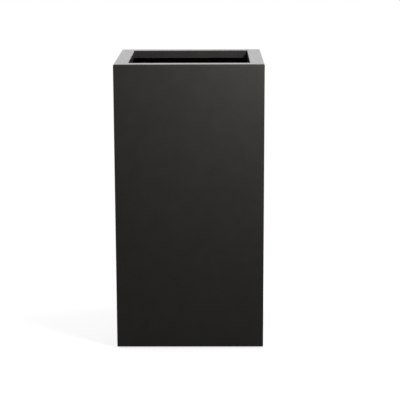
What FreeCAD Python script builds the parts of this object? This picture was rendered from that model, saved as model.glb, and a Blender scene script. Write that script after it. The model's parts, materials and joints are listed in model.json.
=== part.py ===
import FreeCAD, Part

import math
import os
import re

import Sketcher

# Driving sizes in millimetres
SIZES = [
    # Shell of four folded panels
    ("outer_width", 380),
    ("overall_height", 740),
    ("ground_gap", 3),
    ("sheet", 1.5),
    ("bend_radius", 1.5),
    ("rim_width", 36),
    ("lip_depth", 20),
    ("hem_width", 15),
    ("corner_round", 2),
    ("corner_weld_leg", 4),
    # Floor welded into the shell
    ("tray_flange", 25),
    ("tray_corner", 8),
    ("stitch_length", 30),
    ("stitch_pitch", 120),
    ("stitch_leg", 4),
    # Braces from wall to wall
    ("brace_size", 20),
    ("brace_sheet", 1.5),
    ("brace_corner", 3),
    ("brace_inset", 54),
    ("brace_weld_leg", 3),
    # Shelf that lifts out through the rim
    ("shelf_height", 450),
    ("shelf_clearance", 3),
    ("shelf_edge", 20),
    ("shelf_corner", 8),
    ("shelf_hole_radius", 6),
    ("shelf_hole_pitch", 60),
    ("slot_inset", 34),
    ("slot_length", 80),
    ("slot_width", 28),
    ("slot_corner", 10),
    # Drain holes and their plugs
    ("drain_spread", 80),
    ("drain_radius", 13),
    ("plug_clearance", 0.3),
    ("plug_taper", 1.2),
    ("plug_reach", 10),
    ("plug_head_radius", 18),
    ("plug_head_height", 4),
    ("plug_head_round", 1.5),
    ("plug_neck_radius", 5),
    ("plug_neck_height", 7),
    ("plug_knob_radius", 8),
    ("plug_knob_height", 6),
    ("plug_knob_round", 2),
    # Levelling feet
    ("foot_inset", 50),
    ("foot_travel", 12),
    ("pad_radius", 19),
    ("pad_edge", 5),
    ("pad_floor", 3),
    ("pad_round", 1),
    ("hub_radius", 10.5),
    ("hub_height", 13),
    ("socket_play", 0.3),
    ("stem_radius", 4.95),
    ("thread_gap", 0.05),
    ("stem_hole_gap", 0.35),
    ("stem_chamfer", 1),
    ("head_radius", 6),
    ("head_height", 4),
    ("collar_across", 15),
    ("collar_height", 6),
    ("nut_across", 17),
    ("nut_height", 8),
    ("key_across", 5),
    ("key_depth", 5),
]
NAMES = {name for name, value in SIZES}

# Sizes that follow from the driving ones
HALF = "(outer_width / 2)"
INSIDE = "(outer_width / 2 - sheet)"
BEND = "(bend_radius + sheet)"
COLLAR_BOTTOM = "(hub_height + socket_play)"
NUT_BOTTOM = f"({COLLAR_BOTTOM} + collar_height + socket_play)"
FLOOR = f"({NUT_BOTTOM} + nut_height)"
FLOOR_TOP = f"({FLOOR} + sheet)"
STEM_TOP = f"({FLOOR_TOP} + foot_travel)"
FOOT = f"({HALF} - foot_inset)"
SHELF_HALF = f"({HALF} - rim_width - shelf_clearance)"
BRACE = f"({SHELF_HALF} - brace_inset)"
SLOT = f"({SHELF_HALF} - slot_inset)"
MITRE_REACH = "(rim_width + hem_width)"
MITRE_MARGIN = "corner_weld_leg"

# Numbers that a sketch gives to its origin and to the points of a line, arc or circle
ORIGIN = -1
START = 1
END = 2
CENTRE = 3

CLOCKWISE = -1
ANTICLOCKWISE = 1
SIDES = (-1, 1)
CORNERS = [("front_left", -1, -1), ("front_right", 1, -1), ("rear_left", -1, 1), ("rear_right", 1, 1)]
HEX_SIDES = 6
TOLERANCE = 1e-6

doc = FreeCAD.newDocument("SteelPlanter")
sheet = doc.addObject("Spreadsheet::Sheet", "Sizes")
for row, (name, value) in enumerate(SIZES, start=1):
    sheet.set(f"A{row}", name)
    sheet.set(f"B{row}", str(value))
    sheet.setAlias(f"B{row}", name)
doc.recompute()


def sized(text):
    """Turn the size names in an expression into references to the sheet."""
    return re.sub(r"[a-z_]+", lambda word: f"Sizes.{word[0]}" if word[0] in NAMES else word[0], text)


def measure(text):
    """Present value of an expression in millimetres."""
    return float(sheet.evalExpression(sized(text)))


# Sketches
def new_sketch(body, role, name, offset="0"):
    """Sketch on one of the body's own planes, moved along the plane's normal."""
    sketch = body.newObject("Sketcher::SketchObject", name)
    plane = next(item for item in body.Origin.OriginFeatures if item.Role == role)
    sketch.AttachmentSupport = (plane, [""])
    sketch.MapMode = "FlatFace"
    sketch.setExpression("AttachmentOffset.Base.z", sized(offset))
    return sketch


def arc_between(start, end, radius, turn):
    """Short arc from start to end, as geometry that always runs anticlockwise."""
    chord = end - start
    across = FreeCAD.Vector(-chord.y, chord.x, 0)
    across.normalize()
    height = math.sqrt(max(radius**2 - (chord.Length / 2) ** 2, 0))
    centre = (start + end) / 2 + across * height * turn
    first, last = (start, end) if turn == ANTICLOCKWISE else (end, start)
    angles = [math.atan2(point.y - centre.y, point.x - centre.x) for point in (first, last)]
    return Part.ArcOfCircle(Part.Circle(centre, FreeCAD.Vector(0, 0, 1), radius), *angles)


def pin_point(sketch, geometry, position, x, y):
    """Hold a point at two dimensions from the sketch's origin."""
    for kind, text in (("DistanceX", x), ("DistanceY", y)):
        dimension = Sketcher.Constraint(kind, ORIGIN, START, geometry, position, measure(text))
        index = sketch.addConstraint(dimension)
        sketch.setExpression(f"Constraints[{index}]", sized(text))


def outline(sketch, corners, arcs=None):
    """Closed outline through corners given as pairs of expressions.

    arcs maps the number of the corner an arc starts from to its radius and its turn.
    """
    arcs = arcs or {}
    points = [FreeCAD.Vector(measure(x), measure(y), 0) for x, y in corners]
    count = len(points)
    edges = []
    for number, start in enumerate(points):
        end = points[(number + 1) % count]
        if number in arcs:
            radius, turn = arcs[number]
            edges.append(arc_between(start, end, measure(radius), turn))
        else:
            edges.append(Part.LineSegment(start, end))
    ids = sketch.addGeometry(edges, False)
    joins = []
    for number in range(count):
        after = (number + 1) % count
        leaving = START if number in arcs and arcs[number][1] == CLOCKWISE else END
        entering = END if after in arcs and arcs[after][1] == CLOCKWISE else START
        joins.append(Sketcher.Constraint("Coincident", ids[number], leaving, ids[after], entering))
    sketch.addConstraint(joins)
    for number, (x, y) in enumerate(corners):
        entering = END if number in arcs and arcs[number][1] == CLOCKWISE else START
        pin_point(sketch, ids[number], entering, x, y)
    for number, (radius, turn) in arcs.items():
        index = sketch.addConstraint(Sketcher.Constraint("Radius", ids[number], measure(radius)))
        sketch.setExpression(f"Constraints[{index}]", sized(radius))


def rounded_box(sketch, half_x, half_y, radius, x="0", y="0"):
    """Rectangle with rounded corners about a centre."""
    straight_x = f"({half_x} - ({radius}))"
    straight_y = f"({half_y} - ({radius}))"
    corners = [
        (f"{x} - {straight_x}", f"{y} - {half_y}"),
        (f"{x} + {straight_x}", f"{y} - {half_y}"),
        (f"{x} + {half_x}", f"{y} - {straight_y}"),
        (f"{x} + {half_x}", f"{y} + {straight_y}"),
        (f"{x} + {straight_x}", f"{y} + {half_y}"),
        (f"{x} - {straight_x}", f"{y} + {half_y}"),
        (f"{x} - {half_x}", f"{y} + {straight_y}"),
        (f"{x} - {half_x}", f"{y} - {straight_y}"),
    ]
    outline(sketch, corners, {number: (radius, ANTICLOCKWISE) for number in (1, 3, 5, 7)})


def hexagon(sketch, across, x="0", y="0"):
    """Hexagon given by the distance across its flats."""
    reach = f"{across} / sqrt(3)"
    corners = []
    for number in range(HEX_SIDES):
        angle = number * 360 // HEX_SIDES
        corners.append((f"{x} + {reach} * cos({angle})", f"{y} + {reach} * sin({angle})"))
    outline(sketch, corners)


def circle(sketch, radius, x="0", y="0"):
    """Circle about a centre."""
    centre = FreeCAD.Vector(measure(x), measure(y), 0)
    number = sketch.addGeometry(Part.Circle(centre, FreeCAD.Vector(0, 0, 1), measure(radius)), False)
    pin_point(sketch, number, CENTRE, x, y)
    index = sketch.addConstraint(Sketcher.Constraint("Radius", number, measure(radius)))
    sketch.setExpression(f"Constraints[{index}]", sized(radius))


# Features
def new_body(name, x="0", y="0"):
    """Sub-part with its own place in the planter."""
    body = doc.addObject("PartDesign::Body", name)
    body.Label = name
    body.AllowCompound = True
    body.setExpression("Placement.Base.x", sized(x))
    body.setExpression("Placement.Base.y", sized(y))
    return body


def pad(body, sketch, name, length, symmetric=False):
    """Solid from a sketch along its normal."""
    feature = body.newObject("PartDesign::Pad", name)
    feature.Profile = sketch
    feature.setExpression("Length", sized(length))
    feature.SideType = "Symmetric" if symmetric else "One side"
    doc.recompute()
    return feature


def cut_up(body, sketch, name, depth=None):
    """Cut from a sketch upwards, right through where no depth is given."""
    feature = body.newObject("PartDesign::Pocket", name)
    feature.Profile = sketch
    feature.Reversed = True
    if depth:
        feature.setExpression("Length", sized(depth))
    else:
        feature.Type = "ThroughAll"
    doc.recompute()
    return feature


def turned(body, name, corners, arcs=None):
    """Solid turned about the vertical axis from an outline of radius and height."""
    sketch = new_sketch(body, "XZ_Plane", f"{name}_profile")
    outline(sketch, corners, arcs)
    feature = body.newObject("PartDesign::Revolution", name)
    feature.Profile = sketch
    feature.ReferenceAxis = (sketch, ["V_Axis"])
    doc.recompute()
    return feature


def round_level_edges(body, feature, name, height, radius):
    """Round every edge that lies flat at a height."""
    level = measure(height)
    names = []
    for number, edge in enumerate(feature.Shape.Edges, start=1):
        box = edge.BoundBox
        if max(abs(box.ZMin - level), abs(box.ZMax - level)) < TOLERANCE:
            names.append(f"Edge{number}")
    fillet = body.newObject("PartDesign::Fillet", name)
    fillet.Base = (feature, names)
    fillet.setExpression("Radius", sized(radius))
    doc.recompute()
    return fillet


# Shell
def make_panel(name, quarter_turns):
    """Wall folded into the rim, the lip and the bottom hem, mitred to its neighbours."""
    body = new_body(name)
    body.Placement.Rotation = FreeCAD.Rotation(FreeCAD.Vector(0, 0, 1), 90 * quarter_turns)
    top = "overall_height"
    bottom = "ground_gap"
    section = [
        ("hem_width", bottom),
        (BEND, bottom),
        ("0", f"{bottom} + {BEND}"),
        ("0", f"{top} - {BEND}"),
        (BEND, top),
        (f"rim_width - {BEND}", top),
        ("rim_width", f"{top} - {BEND}"),
        ("rim_width", f"{top} - lip_depth"),
        ("rim_width - sheet", f"{top} - lip_depth"),
        ("rim_width - sheet", f"{top} - {BEND}"),
        (f"rim_width - {BEND}", f"{top} - sheet"),
        (BEND, f"{top} - sheet"),
        ("sheet", f"{top} - {BEND}"),
        ("sheet", f"{bottom} + {BEND}"),
        (BEND, f"{bottom} + sheet"),
        ("hem_width", f"{bottom} + sheet"),
    ]
    outer_bends = {number: (BEND, CLOCKWISE) for number in (1, 3, 5)}
    inner_bends = {number: ("bend_radius", ANTICLOCKWISE) for number in (9, 11, 13)}
    folded = new_sketch(body, "YZ_Plane", f"{name}_section")
    outline(folded, [(f"{inward} - {HALF}", z) for inward, z in section], outer_bends | inner_bends)
    pad(body, folded, f"{name}_sheet", "outer_width", symmetric=True)

    rounding = "corner_round * (1 - 1 / sqrt(2))"
    mitre = new_sketch(body, "XY_Plane", f"{name}_mitre")
    for side in SIDES:
        offcut = [
            (f"{HALF} - {MITRE_REACH}", f"{MITRE_REACH} - {HALF}"),
            (f"{HALF} - {rounding}", f"{rounding} - {HALF}"),
            (f"{HALF} - corner_round", f"-{HALF}"),
            (f"{HALF} - corner_round", f"-{HALF} - {MITRE_MARGIN}"),
            (f"{HALF} + {MITRE_MARGIN}", f"-{HALF} - {MITRE_MARGIN}"),
            (f"{HALF} + {MITRE_MARGIN}", f"{MITRE_REACH} - {HALF}"),
        ]
        turn = CLOCKWISE if side > 0 else ANTICLOCKWISE
        outline(mitre, [(f"{side} * ({x})", y) for x, y in offcut], {1: ("corner_round", turn)})
    cut_up(body, mitre, f"{name}_mitred")


def make_corner_welds():
    """Fillet beads up the four inside corners."""
    body = new_body("corner_welds")
    beads = new_sketch(body, "XY_Plane", "corner_bead_section", f"{FLOOR_TOP} + tray_flange")
    for corner, x, y in CORNERS:
        leg = f"({INSIDE} - corner_weld_leg)"
        outline(
            beads,
            [
                (f"{x} * {INSIDE}", f"{y} * {INSIDE}"),
                (f"{x} * {leg}", f"{y} * {INSIDE}"),
                (f"{x} * {INSIDE}", f"{y} * {leg}"),
            ],
        )
    run = f"overall_height - {BEND} - {FLOOR_TOP} - tray_flange"
    pad(body, beads, "corner_beads", run)


# Floor
def make_tray(name, half, corner, bottom, edge):
    """Square sheet tray with bent-up edges and rounded corners."""
    body = new_body(name)
    blank = new_sketch(body, "XY_Plane", f"{name}_outside", bottom)
    rounded_box(blank, half, half, corner)
    solid = pad(body, blank, f"{name}_blank", edge)
    solid = round_level_edges(body, solid, f"{name}_outer_bends", bottom, BEND)
    hollow = new_sketch(body, "XY_Plane", f"{name}_inside", f"{bottom} + sheet")
    rounded_box(hollow, f"({half} - sheet)", f"({half} - sheet)", f"({corner} - sheet)")
    solid = cut_up(body, hollow, f"{name}_hollow", edge)
    round_level_edges(body, solid, f"{name}_inner_bends", f"{bottom} + sheet", "bend_radius")
    return body


def make_base_tray():
    """Floor of the planter, with drain holes and holes for the foot stems."""
    body = make_tray("base_tray", INSIDE, "tray_corner", FLOOR, "tray_flange")
    holes = new_sketch(body, "XY_Plane", "base_holes")
    for corner, x, y in CORNERS:
        circle(holes, "stem_radius + stem_hole_gap", f"{x} * {FOOT}", f"{y} * {FOOT}")
        circle(holes, "drain_radius", f"{x} * drain_spread", f"{y} * drain_spread")
    cut_up(body, holes, "base_holed")


def make_base_welds():
    """Stitches that hold the edges of the floor to the walls."""
    body = new_body("base_welds")
    edge_top = f"({FLOOR} + tray_flange)"
    stitches = []
    for step in (-1, 0, 1):
        section = new_sketch(body, "YZ_Plane", "stitch_section", f"{step} * stitch_pitch")
        outline(
            section,
            [
                (f"-{INSIDE}", edge_top),
                (f"sheet - {INSIDE}", edge_top),
                (f"-{INSIDE}", f"{edge_top} + stitch_leg"),
            ],
        )
        stitches.append(pad(body, section, "stitch", "stitch_length", symmetric=True))
    pattern = body.newObject("PartDesign::PolarPattern", "stitches_all_round")
    pattern.Originals = stitches
    pattern.Axis = (next(item for item in body.Origin.OriginFeatures if item.Role == "Z_Axis"), [""])
    body.Tip = pattern
    pattern.Angle = 360
    pattern.Occurrences = len(CORNERS)
    doc.recompute()


# Braces and shelf
def make_brace(name, row):
    """Square tube from the left wall to the right one."""
    body = new_body(name, y=f"{row} * {BRACE}")
    section = new_sketch(body, "YZ_Plane", f"{name}_section")
    middle = "(shelf_height - brace_size / 2)"
    rounded_box(section, "(brace_size / 2)", "(brace_size / 2)", "brace_corner", y=middle)
    bore = "(brace_size / 2 - brace_sheet)"
    rounded_box(section, bore, bore, "(brace_corner - brace_sheet)", y=middle)
    pad(body, section, f"{name}_tube", f"2 * {INSIDE}", symmetric=True)


def make_brace_welds():
    """Beads down both sides of each brace end."""
    body = new_body("brace_welds")
    beads = new_sketch(body, "XY_Plane", "brace_bead_section", "shelf_height - brace_size + brace_corner")
    for end in SIDES:
        for row in SIDES:
            for face in SIDES:
                tube_face = f"{row} * {BRACE} + {face} * brace_size / 2"
                outline(
                    beads,
                    [
                        (f"{end} * {INSIDE}", tube_face),
                        (f"{end} * ({INSIDE} - brace_weld_leg)", tube_face),
                        (f"{end} * {INSIDE}", f"{tube_face} + {face} * brace_weld_leg"),
                    ],
                )
    pad(body, beads, "brace_beads", "brace_size - 2 * brace_corner")


def make_pot_shelf():
    """Tray for the plant, with drain holes and two slots to lift it by."""
    body = make_tray("pot_shelf", SHELF_HALF, "shelf_corner", "shelf_height", "shelf_edge")
    holes = new_sketch(body, "XY_Plane", "shelf_holes")
    for column in (-1, 0, 1):
        for row in (-1, 0, 1):
            circle(holes, "shelf_hole_radius", f"{column} * shelf_hole_pitch", f"{row} * shelf_hole_pitch")
    for side in SIDES:
        rounded_box(holes, "(slot_width / 2)", "(slot_length / 2)", "slot_corner", x=f"{side} * {SLOT}")
    cut_up(body, holes, "shelf_holed")


# Drain plugs
def make_drain_plug(corner, x, y):
    """Rubber stopper with a head that seals on the floor and a knob to pull."""
    name = f"drain_plug_{corner}"
    body = new_body(name, f"{x} * drain_spread", f"{y} * drain_spread")
    shank = "(drain_radius - plug_clearance)"
    head_top = f"({FLOOR_TOP} + plug_head_height)"
    knob_bottom = f"({head_top} + plug_neck_height)"
    knob_top = f"({knob_bottom} + plug_knob_height)"
    profile = [
        ("0", f"{FLOOR_TOP} - plug_reach"),
        (f"{shank} - plug_taper", f"{FLOOR_TOP} - plug_reach"),
        (shank, FLOOR_TOP),
        ("plug_head_radius", FLOOR_TOP),
        ("plug_head_radius", f"{head_top} - plug_head_round"),
        ("plug_head_radius - plug_head_round", head_top),
        ("plug_neck_radius", head_top),
        ("plug_neck_radius", knob_bottom),
        ("plug_knob_radius - plug_knob_round", knob_bottom),
        ("plug_knob_radius", f"{knob_bottom} + plug_knob_round"),
        ("plug_knob_radius", f"{knob_top} - plug_knob_round"),
        ("plug_knob_radius - plug_knob_round", knob_top),
        ("0", knob_top),
    ]
    knob_round = ("plug_knob_round", ANTICLOCKWISE)
    turned(body, name, profile, {4: ("plug_head_round", ANTICLOCKWISE), 8: knob_round, 10: knob_round})


# Levelling feet
def make_foot_nuts():
    """Hexagon nuts welded under the floor."""
    body = new_body("foot_nuts")
    section = new_sketch(body, "XY_Plane", "nut_section", NUT_BOTTOM)
    for corner, x, y in CORNERS:
        hexagon(section, "nut_across", f"{x} * {FOOT}", f"{y} * {FOOT}")
        circle(section, "stem_radius + thread_gap", f"{x} * {FOOT}", f"{y} * {FOOT}")
    pad(body, section, "nuts", "nut_height")


def make_foot_pad(corner, x, y):
    """Round pad with a socket that the stem turns in."""
    name = f"foot_pad_{corner}"
    body = new_body(name, f"{x} * {FOOT}", f"{y} * {FOOT}")
    socket_radius = "head_radius + socket_play"
    socket_top = "pad_floor + head_height + socket_play"
    neck_radius = "stem_radius + socket_play"
    profile = [
        ("0", "0"),
        ("pad_radius - pad_round", "0"),
        ("pad_radius", "pad_round"),
        ("pad_radius", "pad_edge - pad_round"),
        ("pad_radius - pad_round", "pad_edge"),
        ("hub_radius", "hub_height - pad_round"),
        ("hub_radius - pad_round", "hub_height"),
        (neck_radius, "hub_height"),
        (neck_radius, socket_top),
        (socket_radius, socket_top),
        (socket_radius, "pad_floor"),
        ("0", "pad_floor"),
    ]
    edge_round = ("pad_round", ANTICLOCKWISE)
    turned(body, name, profile, {1: edge_round, 3: edge_round, 5: edge_round})


def make_foot_stem(corner, x, y):
    """Threaded stem with a head in the pad, a collar for a spanner and a key socket in its top."""
    name = f"foot_stem_{corner}"
    body = new_body(name, f"{x} * {FOOT}", f"{y} * {FOOT}")
    profile = [
        ("0", "pad_floor"),
        ("head_radius", "pad_floor"),
        ("head_radius", "pad_floor + head_height"),
        ("stem_radius", "pad_floor + head_height"),
        ("stem_radius", f"{STEM_TOP} - stem_chamfer"),
        ("stem_radius - stem_chamfer", STEM_TOP),
        ("0", STEM_TOP),
    ]
    turned(body, name, profile)
    collar = new_sketch(body, "XY_Plane", f"{name}_collar_section", COLLAR_BOTTOM)
    hexagon(collar, "collar_across")
    pad(body, collar, f"{name}_collar", "collar_height")
    key = new_sketch(body, "XY_Plane", f"{name}_key_section", f"{STEM_TOP} - key_depth")
    hexagon(key, "key_across")
    cut_up(body, key, f"{name}_key")


# Whole planter
for quarter_turns, name in enumerate(("front_panel", "right_panel", "rear_panel", "left_panel")):
    make_panel(name, quarter_turns)
make_corner_welds()
make_base_tray()
make_base_welds()
make_brace("front_brace", -1)
make_brace("rear_brace", 1)
make_brace_welds()
make_pot_shelf()
make_foot_nuts()
for corner, x, y in CORNERS:
    make_drain_plug(corner, x, y)
    make_foot_pad(corner, x, y)
    make_foot_stem(corner, x, y)
doc.recompute()

for item in doc.Objects:
    if "Invalid" in item.State or "Error" in item.State:
        raise RuntimeError(f"{item.Label} did not build")

os.makedirs("parts", exist_ok=True)
for body in doc.findObjects("PartDesign::Body"):
    if body.Shape.isNull() or not body.Shape.isValid():
        raise RuntimeError(f"{body.Label} has no valid shape")
    body.Shape.exportStep(f"parts/{body.Label}.step")
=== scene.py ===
import json
import math

import bmesh
import bpy
from mathutils import Euler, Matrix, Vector


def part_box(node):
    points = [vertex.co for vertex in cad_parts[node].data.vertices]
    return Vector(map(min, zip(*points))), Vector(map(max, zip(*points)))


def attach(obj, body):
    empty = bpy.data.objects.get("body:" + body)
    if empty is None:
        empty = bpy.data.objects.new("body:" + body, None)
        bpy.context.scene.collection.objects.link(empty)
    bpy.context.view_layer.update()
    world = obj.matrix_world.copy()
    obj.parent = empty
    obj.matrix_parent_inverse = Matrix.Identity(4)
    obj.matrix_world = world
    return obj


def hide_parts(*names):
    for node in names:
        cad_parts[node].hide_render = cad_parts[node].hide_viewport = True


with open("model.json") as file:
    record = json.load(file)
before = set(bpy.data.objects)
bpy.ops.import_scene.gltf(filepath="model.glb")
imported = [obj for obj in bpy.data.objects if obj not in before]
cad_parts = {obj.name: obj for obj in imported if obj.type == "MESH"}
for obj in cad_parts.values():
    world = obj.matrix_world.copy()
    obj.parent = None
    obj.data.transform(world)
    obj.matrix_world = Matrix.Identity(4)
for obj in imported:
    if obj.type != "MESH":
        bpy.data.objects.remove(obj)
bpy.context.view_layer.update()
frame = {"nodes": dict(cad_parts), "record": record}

MM = 0.001
UP = Vector((0, 0, 1))
WHITE = (1, 1, 1, 1)
CORNERS = ("front_left", "front_right", "rear_left", "rear_right")


def add_node(tree, kind, inputs=None, **settings):
    """Shader node of a kind, with its settings, and its inputs set or linked."""
    node = tree.nodes.new(kind)
    for name, value in settings.items():
        setattr(node, name, value)
    for socket, value in (inputs or {}).items():
        if isinstance(value, bpy.types.NodeSocket):
            tree.links.new(value, node.inputs[socket])
        else:
            node.inputs[socket].default_value = value
    return node


# Materials
PATTERN_LOW = 0.3
PATTERN_HIGH = 0.7
RAGGED_GRAINS = 3


class Finish:
    """Principled material whose detail is made of nodes in the object's own coordinates."""

    def __init__(self, name, **constants):
        self.material = bpy.data.materials.new(name)
        self.material.use_nodes = True
        self.tree = self.material.node_tree
        self.shader = self.tree.nodes["Principled BSDF"]
        for socket, value in constants.items():
            self.shader.inputs[socket.replace("_", " ")].default_value = value
        self.place = self.add("ShaderNodeTexCoord").outputs["Object"]

    def add(self, kind, inputs=None, **settings):
        """Node of this material."""
        return add_node(self.tree, kind, inputs, **settings)

    def link(self, source, socket):
        """Pattern, colour or normal that drives a socket of the shader."""
        self.tree.links.new(source, self.shader.inputs[socket])

    def noise(self, size, detail=2.0, rough=0.5):
        """Cloudy pattern with grains of a size in metres."""
        inputs = {"Vector": self.place, "Scale": 1 / size, "Detail": detail, "Roughness": rough}
        return self.add("ShaderNodeTexNoise", inputs).outputs["Fac"]

    def cells(self, size, wobble):
        """Patchwork of flat cells of a size in metres, with edges ragged by a wobble."""
        grains = RAGGED_GRAINS / size
        inputs = {"Vector": self.place, "Scale": grains, "Detail": 3.0, "Roughness": 0.6}
        ragged = self.add("ShaderNodeTexNoise", inputs).outputs["Color"]
        inputs = {0: ragged, 1: (wobble, wobble, wobble), 2: self.place}
        moved = self.add("ShaderNodeVectorMath", inputs, operation="MULTIPLY_ADD").outputs["Vector"]
        inputs = {"Vector": moved, "Scale": 1 / size}
        return self.add("ShaderNodeTexVoronoi", inputs).outputs["Color"]

    def blend(self, source, dark, light, low=PATTERN_LOW, high=PATTERN_HIGH):
        """Colours from dark to light as a pattern goes from low to high."""
        ramp = self.add("ShaderNodeValToRGB", {"Fac": source})
        first, last = ramp.color_ramp.elements
        first.position, first.color = low, (*dark, 1)
        last.position, last.color = high, (*light, 1)
        return ramp.outputs["Color"]

    def spread(self, source, least, most):
        """Number from least to most over the usual range of a pattern."""
        inputs = {
            "Value": source,
            "From Min": PATTERN_LOW,
            "From Max": PATTERN_HIGH,
            "To Min": least,
            "To Max": most,
        }
        return self.add("ShaderNodeMapRange", inputs).outputs["Result"]

    def bumps(self, *layers):
        """Surface detail from layers of pattern, strength and depth in metres."""
        normal = None
        for pattern, strength, depth in layers:
            inputs = {"Height": pattern, "Strength": strength, "Distance": depth}
            if normal:
                inputs["Normal"] = normal
            normal = self.add("ShaderNodeBump", inputs).outputs["Normal"]
        self.link(normal, "Normal")


def powder_coat():
    """Charcoal powder coat with fine orange peel.

    The tint makes it matte when seen straight on, and leaves it bright at a low angle.
    """
    finish = Finish("charcoal_powder_coat", Specular_Tint=(0.12, 0.12, 0.12, 1))
    cloud = finish.noise(0.04, detail=5.0, rough=0.7)
    grain = finish.noise(0.0012, rough=0.6)
    tone = finish.blend(cloud, (0.0232, 0.0221, 0.0204), (0.0274, 0.0263, 0.0244))
    finish.link(tone, "Base Color")
    finish.link(finish.spread(grain, 0.12, 0.18), "Roughness")
    finish.bumps((finish.noise(0.005), 0.30, 0.2 * MM), (grain, 1.0, 0.16 * MM))
    return finish.material


def galvanised_sheet():
    """Hot-dip zinc with its crystal spangle."""
    finish = Finish("galvanised_sheet", Metallic=1.0)
    haze = finish.noise(0.03, detail=4.0)
    spangle = finish.cells(0.013, wobble=0.005)
    bright = finish.add("ShaderNodeSeparateColor", {"Color": spangle}).outputs["Red"]
    tone = finish.blend(bright, (0.44, 0.45, 0.47), (0.60, 0.61, 0.62), low=0.1, high=0.9)
    finish.link(tone, "Base Color")
    finish.link(finish.spread(haze, 0.34, 0.52), "Roughness")
    finish.bumps((bright, 0.05, 0.1 * MM), (finish.noise(0.002), 0.08, 0.05 * MM))
    return finish.material


def zinc_plate():
    """Bright zinc plating on turned steel."""
    finish = Finish("zinc_plate", Metallic=1.0)
    haze = finish.noise(0.004, detail=3.0)
    finish.link(finish.blend(haze, (0.56, 0.56, 0.54), (0.70, 0.70, 0.68)), "Base Color")
    finish.link(finish.spread(haze, 0.26, 0.40), "Roughness")
    finish.bumps((finish.noise(0.0008), 0.06, 0.03 * MM))
    return finish.material


def rubber():
    """Black moulded rubber with a dry bloom."""
    finish = Finish("black_rubber", Specular_IOR_Level=0.35)
    bloom = finish.noise(0.008, detail=4.0, rough=0.65)
    finish.link(finish.blend(bloom, (0.014, 0.014, 0.014), (0.030, 0.030, 0.029)), "Base Color")
    finish.link(finish.spread(bloom, 0.62, 0.80), "Roughness")
    finish.bumps((finish.noise(0.0010), 0.20, 0.05 * MM))
    return finish.material


def nylon():
    """Black moulded nylon with a fine spark-eroded grain."""
    finish = Finish("black_nylon", Specular_IOR_Level=0.45)
    flow = finish.noise(0.010, detail=3.0)
    finish.link(finish.blend(flow, (0.017, 0.017, 0.018), (0.025, 0.025, 0.026)), "Base Color")
    finish.link(finish.spread(flow, 0.44, 0.56), "Roughness")
    finish.bumps((finish.noise(0.0006), 0.15, 0.04 * MM))
    return finish.material


FINISHES = {
    "powder_coat": powder_coat(),
    "galvanised": galvanised_sheet(),
    "zinc": zinc_plate(),
    "rubber": rubber(),
    "nylon": nylon(),
}


def finish_cad_nodes():
    """Give each solid the finish of its slot in the record."""
    for entry in frame["record"]["subparts"]:
        node = frame["nodes"][entry["node"]]
        node.data.materials.clear()
        node.data.materials.append(FINISHES[entry["material_slot"]])


# Mesh building
SMOOTH_ANGLE_DEG = 35


def skin(bm, rings, loop=False):
    """Faces between rings of points, with the two ends closed or joined to each other."""
    loops = [[bm.verts.new(point) for point in ring] for ring in rings]
    count = len(loops[0])
    pairs = list(zip(loops, loops[1:]))
    if loop:
        pairs.append((loops[-1], loops[0]))
    for lower, upper in pairs:
        for number in range(count):
            after = (number + 1) % count
            bm.faces.new((lower[number], lower[after], upper[after], upper[number]))
    if not loop:
        bm.faces.new(reversed(loops[0]))
        bm.faces.new(loops[-1])


def new_piece(name, bm, body, slot, nodes):
    """Finished piece that rides on a body and stands for its nodes."""
    bmesh.ops.recalc_face_normals(bm, faces=bm.faces)
    mesh = bpy.data.meshes.new(name)
    bm.to_mesh(mesh)
    bm.free()
    mesh.shade_smooth()
    mesh.set_sharp_from_angle(angle=math.radians(SMOOTH_ANGLE_DEG))
    piece = bpy.data.objects.new(name, mesh)
    bpy.context.scene.collection.objects.link(piece)
    piece.data.materials.append(FINISHES[slot])
    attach(piece, body)
    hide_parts(*nodes)


# Weld beads, with crown, root, ripple depth and end as shares of the bead
RIPPLE = 2.6 * MM
RIPPLE_LEAD = 1.1 * MM
RIPPLE_DEPTH = 0.16
RIPPLE_STEPS = 5
BEAD_STEPS = 6
BEAD_CROWN = 0.10
BEAD_ROOT = 0.02
BEAD_END = 0.1
CORNER_BEAD_LEG = 4 * MM
BRACE_BEAD_LEG = 3 * MM
STITCH_LENGTH = 30 * MM
STITCH_PITCH = 120 * MM
SHEET = 1.5 * MM


def add_bead(bm, start, along, length, side_a, side_b):
    """Fillet bead between two faces at right angles, with the ripples of its pool.

    side_a and side_b run from the corner along the two faces, as long as the bead's legs.
    """
    rows = max(round(length / RIPPLE * RIPPLE_STEPS), RIPPLE_STEPS)
    leg = min(side_a.length, side_b.length)
    outward = (side_a.normalized() + side_b.normalized()).normalized()
    rings = []
    for row in range(rows + 1):
        run = length * row / rows
        end = min(run, length - run)
        taper = math.sqrt(min(1, (end + BEAD_END * leg) / leg))
        ring = [start + along * run - outward * leg * BEAD_ROOT]
        for step in range(BEAD_STEPS + 1):
            across = step / BEAD_STEPS
            middle = 4 * across * (1 - across)
            phase = (run - RIPPLE_LEAD * middle) / RIPPLE % 1
            swell = taper * (1 - RIPPLE_DEPTH * (2 * phase - 1) ** 2)
            point = side_a * (1 - across) + side_b * across + outward * leg * BEAD_CROWN * middle
            ring.append(start + along * run + point * swell)
        rings.append(ring)
    skin(bm, rings)


def make_corner_welds():
    """Beads up the four inside corners of the shell."""
    low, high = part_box("corner_welds")
    bm = bmesh.new()
    for x in (low.x, high.x):
        for y in (low.y, high.y):
            side_a = Vector((-math.copysign(CORNER_BEAD_LEG, x), 0, 0))
            side_b = Vector((0, -math.copysign(CORNER_BEAD_LEG, y), 0))
            add_bead(bm, Vector((x, y, low.z)), UP, high.z - low.z, side_a, side_b)
    new_piece("corner_weld_beads", bm, "planter", "powder_coat", ["corner_welds"])


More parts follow.
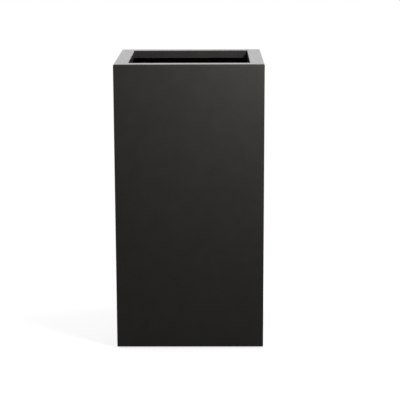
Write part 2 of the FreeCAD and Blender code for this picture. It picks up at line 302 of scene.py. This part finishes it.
def make_base_welds():
    """Stitches between the edges of the floor and the walls."""
    low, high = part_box("base_welds")
    bm = bmesh.new()
    for quarter in range(4):
        turn = Euler((0, 0, quarter * math.pi / 2)).to_matrix()
        along = turn @ Vector((1, 0, 0))
        inward = turn @ Vector((0, SHEET, 0))
        for step in (-1, 0, 1):
            start = turn @ Vector((step * STITCH_PITCH - STITCH_LENGTH / 2, low.y, low.z))
            add_bead(bm, start, along, STITCH_LENGTH, UP * (high.z - low.z), inward)
    new_piece("base_weld_beads", bm, "planter", "powder_coat", ["base_welds"])


def make_brace_welds():
    """Beads down both sides of the brace ends."""
    low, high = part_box("brace_welds")
    bm = bmesh.new()
    for brace in ("front_brace", "rear_brace"):
        tube_low, tube_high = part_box(brace)
        for x in (low.x, high.x):
            for y, away in ((tube_low.y, -1), (tube_high.y, 1)):
                side_a = Vector((-math.copysign(BRACE_BEAD_LEG, x), 0, 0))
                side_b = Vector((0, away * BRACE_BEAD_LEG, 0))
                add_bead(bm, Vector((x, y, low.z)), UP, high.z - low.z, side_a, side_b)
    new_piece("brace_weld_beads", bm, "planter", "powder_coat", ["brace_welds"])


# Levelling feet
ROUND_STEPS = 48
THREAD_PITCH = 1.5 * MM
THREAD_DEPTH = 0.85 * MM
THREAD_STEPS = 10
THREAD_FLAT = 0.12
HEX_FACE = 0.475
HEX_CHAMFER_SLOPE = math.tan(math.radians(30))
HEX_CHAMFER_STEPS = 4
STEM_RADIUS = 4.95 * MM
STEM_TIP_CHAMFER = 1 * MM
HEAD_RADIUS = 6 * MM
HEAD_HEIGHT = 4 * MM
COLLAR_ACROSS = 15 * MM
COLLAR_BOTTOM = 13.3 * MM
COLLAR_HEIGHT = 6 * MM
KEY_ACROSS = 5 * MM
KEY_DEPTH = 5 * MM
NUT_ACROSS = 17 * MM
NUT_BORE_RADIUS = 5 * MM
NUT_LEAD_IN = 0.5 * MM


def ring_at(centre, height, radius):
    """Ring of points at a height, where radius is a number or a function of the angle."""
    points = []
    for step in range(ROUND_STEPS):
        angle = 2 * math.pi * step / ROUND_STEPS
        reach = radius(angle) if callable(radius) else radius
        x = centre.x + reach * math.cos(angle)
        y = centre.y + reach * math.sin(angle)
        points.append(Vector((x, y, height)))
    return points


def hexagon(across):
    """Radius of a hexagon at each angle, from its size across the flats."""
    def radius(angle):
        return across / 2 / math.cos((angle + math.pi / 6) % (math.pi / 3) - math.pi / 6)
    return radius


def hex_rings(centre, bottom, top, across):
    """Rings of a hexagon with its corners turned off at both ends."""
    flat = hexagon(across)
    face = HEX_FACE * across
    depth = (across / math.sqrt(3) - face) * HEX_CHAMFER_SLOPE
    levels = [depth * step / HEX_CHAMFER_STEPS for step in range(HEX_CHAMFER_STEPS + 1)]
    turned = [(bottom + level, face + level / HEX_CHAMFER_SLOPE) for level in levels]
    turned += [(top - level, face + level / HEX_CHAMFER_SLOPE) for level in reversed(levels)]
    rings = []
    for height, limit in turned:
        rings.append(ring_at(centre, height, lambda angle, limit=limit: min(flat(angle), limit)))
    return rings


def thread_rings(centre, bottom, top):
    """Rings of a right-hand thread that runs out above its shoulder and at its tip."""
    root = STEM_RADIUS - THREAD_DEPTH
    count = round((top - bottom) / THREAD_PITCH * THREAD_STEPS)
    rings = []
    for number in range(count + 1):
        height = bottom + (top - bottom) * number / count
        start = min(1, (height - bottom) / THREAD_PITCH)
        limit = STEM_RADIUS - STEM_TIP_CHAMFER + (top - height)

        def reach(angle, height=height, start=start, limit=limit):
            phase = (height / THREAD_PITCH - angle / (2 * math.pi)) % 1
            crest = (abs(2 * phase - 1) - THREAD_FLAT) / (1 - 2 * THREAD_FLAT)
            crest = min(max(crest, 0), 1)
            return min(root + THREAD_DEPTH * crest * start, limit)

        rings.append(ring_at(centre, height, reach))
    return rings


def make_foot_stem(corner):
    """Threaded stem with its head, spanner collar and key socket."""
    node = f"foot_stem_{corner}"
    low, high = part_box(node)
    centre = (low + high) / 2
    head_top = low.z + HEAD_HEIGHT
    collar_top = COLLAR_BOTTOM + COLLAR_HEIGHT
    key = hexagon(KEY_ACROSS)
    rings = [
        ring_at(centre, low.z, HEAD_RADIUS),
        ring_at(centre, head_top, HEAD_RADIUS),
        ring_at(centre, head_top, STEM_RADIUS),
        ring_at(centre, COLLAR_BOTTOM, STEM_RADIUS),
    ]
    rings += hex_rings(centre, COLLAR_BOTTOM, collar_top, COLLAR_ACROSS)
    rings += thread_rings(centre, collar_top, high.z)
    rings += [ring_at(centre, high.z, key), ring_at(centre, high.z - KEY_DEPTH, key)]
    bm = bmesh.new()
    skin(bm, rings)
    new_piece(f"threaded_stem_{corner}", bm, f"stem_{corner}", "zinc", [node])


def make_foot_nuts():
    """Hexagon nuts under the floor."""
    low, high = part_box("foot_nuts")
    mouth = NUT_BORE_RADIUS + NUT_LEAD_IN
    bm = bmesh.new()
    for corner in CORNERS:
        pad_low, pad_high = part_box(f"foot_pad_{corner}")
        centre = (pad_low + pad_high) / 2
        rings = [
            ring_at(centre, low.z + NUT_LEAD_IN, NUT_BORE_RADIUS),
            ring_at(centre, low.z, mouth),
        ]
        rings += hex_rings(centre, low.z, high.z, NUT_ACROSS)
        rings += [
            ring_at(centre, high.z, mouth),
            ring_at(centre, high.z - NUT_LEAD_IN, NUT_BORE_RADIUS),
        ]
        skin(bm, rings, loop=True)
    new_piece("foot_weld_nuts", bm, "planter", "zinc", ["foot_nuts"])


# Stage
FLOOR_REACH = 30
FLOOR_SEEN = (0.9, 0.9, 0.9, 1)
FLOOR_UNSEEN = (0.04, 0.04, 0.04, 1)
CLEAR_NEAR = 0.35
CLEAR_FAR = 1.6
LEAST_WHITE = 0.75
ROOM_LIGHT = 0.05


def seen_directly(tree):
    """1 on rays from the camera and in reflections and glass, 0 on light between surfaces."""
    path = add_node(tree, "ShaderNodeLightPath").outputs
    seen = path["Is Camera Ray"]
    for kind in ("Is Glossy Ray", "Is Transmission Ray"):
        inputs = {0: seen, 1: path[kind]}
        seen = add_node(tree, "ShaderNodeMath", inputs, operation="MAXIMUM").outputs["Value"]
    return seen


def floor_paint():
    """Pale matte paint that turns to plain white away from the planter.

    It is dark to the light between surfaces, so that it throws little back on the walls.
    """
    material = bpy.data.materials.new("pale_floor")
    material.use_nodes = True
    tree = material.node_tree
    tree.nodes.clear()
    seen = seen_directly(tree)
    inputs = {"Factor": seen, "A": FLOOR_UNSEEN, "B": FLOOR_SEEN}
    paint = add_node(tree, "ShaderNodeMix", inputs, data_type="RGBA").outputs["Result"]
    matte = add_node(tree, "ShaderNodeBsdfDiffuse", {"Color": paint}).outputs["BSDF"]
    white = add_node(tree, "ShaderNodeEmission", {"Color": WHITE}).outputs["Emission"]
    place = add_node(tree, "ShaderNodeTexCoord").outputs["Object"]
    away = add_node(tree, "ShaderNodeVectorMath", {0: place}, operation="LENGTH").outputs["Value"]
    inputs = {"Value": away, "From Min": CLEAR_NEAR, "From Max": CLEAR_FAR, "To Min": LEAST_WHITE}
    fade = add_node(tree, "ShaderNodeMapRange", inputs, interpolation_type="SMOOTHSTEP")
    inputs = {0: seen, 1: fade.outputs["Result"]}
    share = add_node(tree, "ShaderNodeMath", inputs, operation="MULTIPLY").outputs["Value"]
    inputs = {"Fac": share, 1: matte, 2: white}
    mix = add_node(tree, "ShaderNodeMixShader", inputs).outputs["Shader"]
    add_node(tree, "ShaderNodeOutputMaterial", {"Surface": mix})
    return material


def make_floor():
    """Floor that takes the planter's shadow."""
    mesh = bpy.data.meshes.new("floor")
    sides = ((-1, -1), (1, -1), (1, 1), (-1, 1))
    mesh.from_pydata([(x * FLOOR_REACH, y * FLOOR_REACH, 0) for x, y in sides], [], [(0, 1, 2, 3)])
    mesh.materials.append(floor_paint())
    floor = bpy.data.objects.new("floor", mesh)
    bpy.context.scene.collection.objects.link(floor)


def make_world():
    """White backdrop to the camera and in reflections, and a dim room for soft light."""
    world = bpy.data.worlds.new("studio")
    world.use_nodes = True
    bpy.context.scene.world = world
    tree = world.node_tree
    tree.nodes.clear()
    inputs = {0: seen_directly(tree), 1: ROOM_LIGHT}
    strength = add_node(tree, "ShaderNodeMath", inputs, operation="MAXIMUM").outputs["Value"]
    inputs = {"Color": WHITE, "Strength": strength}
    backdrop = add_node(tree, "ShaderNodeBackground", inputs).outputs["Background"]
    add_node(tree, "ShaderNodeOutputWorld", {"Surface": backdrop})


def add_lamp(name, place, target, size, power):
    """Square soft box that shines at a point."""
    light = bpy.data.lights.new(name, "AREA")
    light.size = size
    light.energy = power
    lamp = bpy.data.objects.new(name, light)
    lamp.location = place
    lamp.rotation_euler = (Vector(target) - Vector(place)).to_track_quat("-Z", "Y").to_euler()
    lamp.visible_camera = False
    lamp.visible_glossy = False
    bpy.context.scene.collection.objects.link(lamp)


def make_lamps():
    """Key light above the front right corner, and fills for the other three walls."""
    add_lamp("key", (0.46, -0.62, 1.18), (0.0, -0.19, 0.45), size=0.30, power=17.5)
    add_lamp("left_fill", (-1.60, 0.25, 1.20), (-0.19, 0.0, 0.40), size=1.2, power=24)
    add_lamp("right_fill", (1.50, 0.45, 1.30), (0.19, 0.0, 0.40), size=1.2, power=18)
    add_lamp("back_fill", (-0.60, 1.50, 1.90), (0.0, 0.19, 0.40), size=1.2, power=36)


# Camera
CAMERA_PLACE = (0.0573, -3.6813, 1.1265)
CAMERA_PITCH_DEG = 11.93
CAMERA_YAW_DEG = -0.50
CAMERA_ROLL_DEG = -0.19
FOCAL_PIXELS = 1400
FRAME_HEIGHT_PIXELS = 404
SENSOR_MM = 36


def make_camera():
    """Camera that the photograph's outlines give."""
    camera = bpy.data.cameras.new("camera")
    camera.sensor_width = SENSOR_MM
    camera.lens = FOCAL_PIXELS / FRAME_HEIGHT_PIXELS * SENSOR_MM
    holder = bpy.data.objects.new("camera", camera)
    holder.location = CAMERA_PLACE
    pitch = math.radians(90 - CAMERA_PITCH_DEG)
    look = Euler((pitch, 0, -math.radians(CAMERA_YAW_DEG))).to_matrix()
    roll = Euler((0, 0, math.radians(CAMERA_ROLL_DEG))).to_matrix()
    holder.rotation_euler = (look @ roll).to_euler()
    bpy.context.scene.collection.objects.link(holder)
    bpy.context.scene.camera = holder


finish_cad_nodes()
make_corner_welds()
make_base_welds()
make_brace_welds()
make_foot_nuts()
for corner in CORNERS:
    make_foot_stem(corner)
make_floor()
make_world()
make_lamps()
make_camera()
bpy.context.scene.view_settings.view_transform = "Standard"
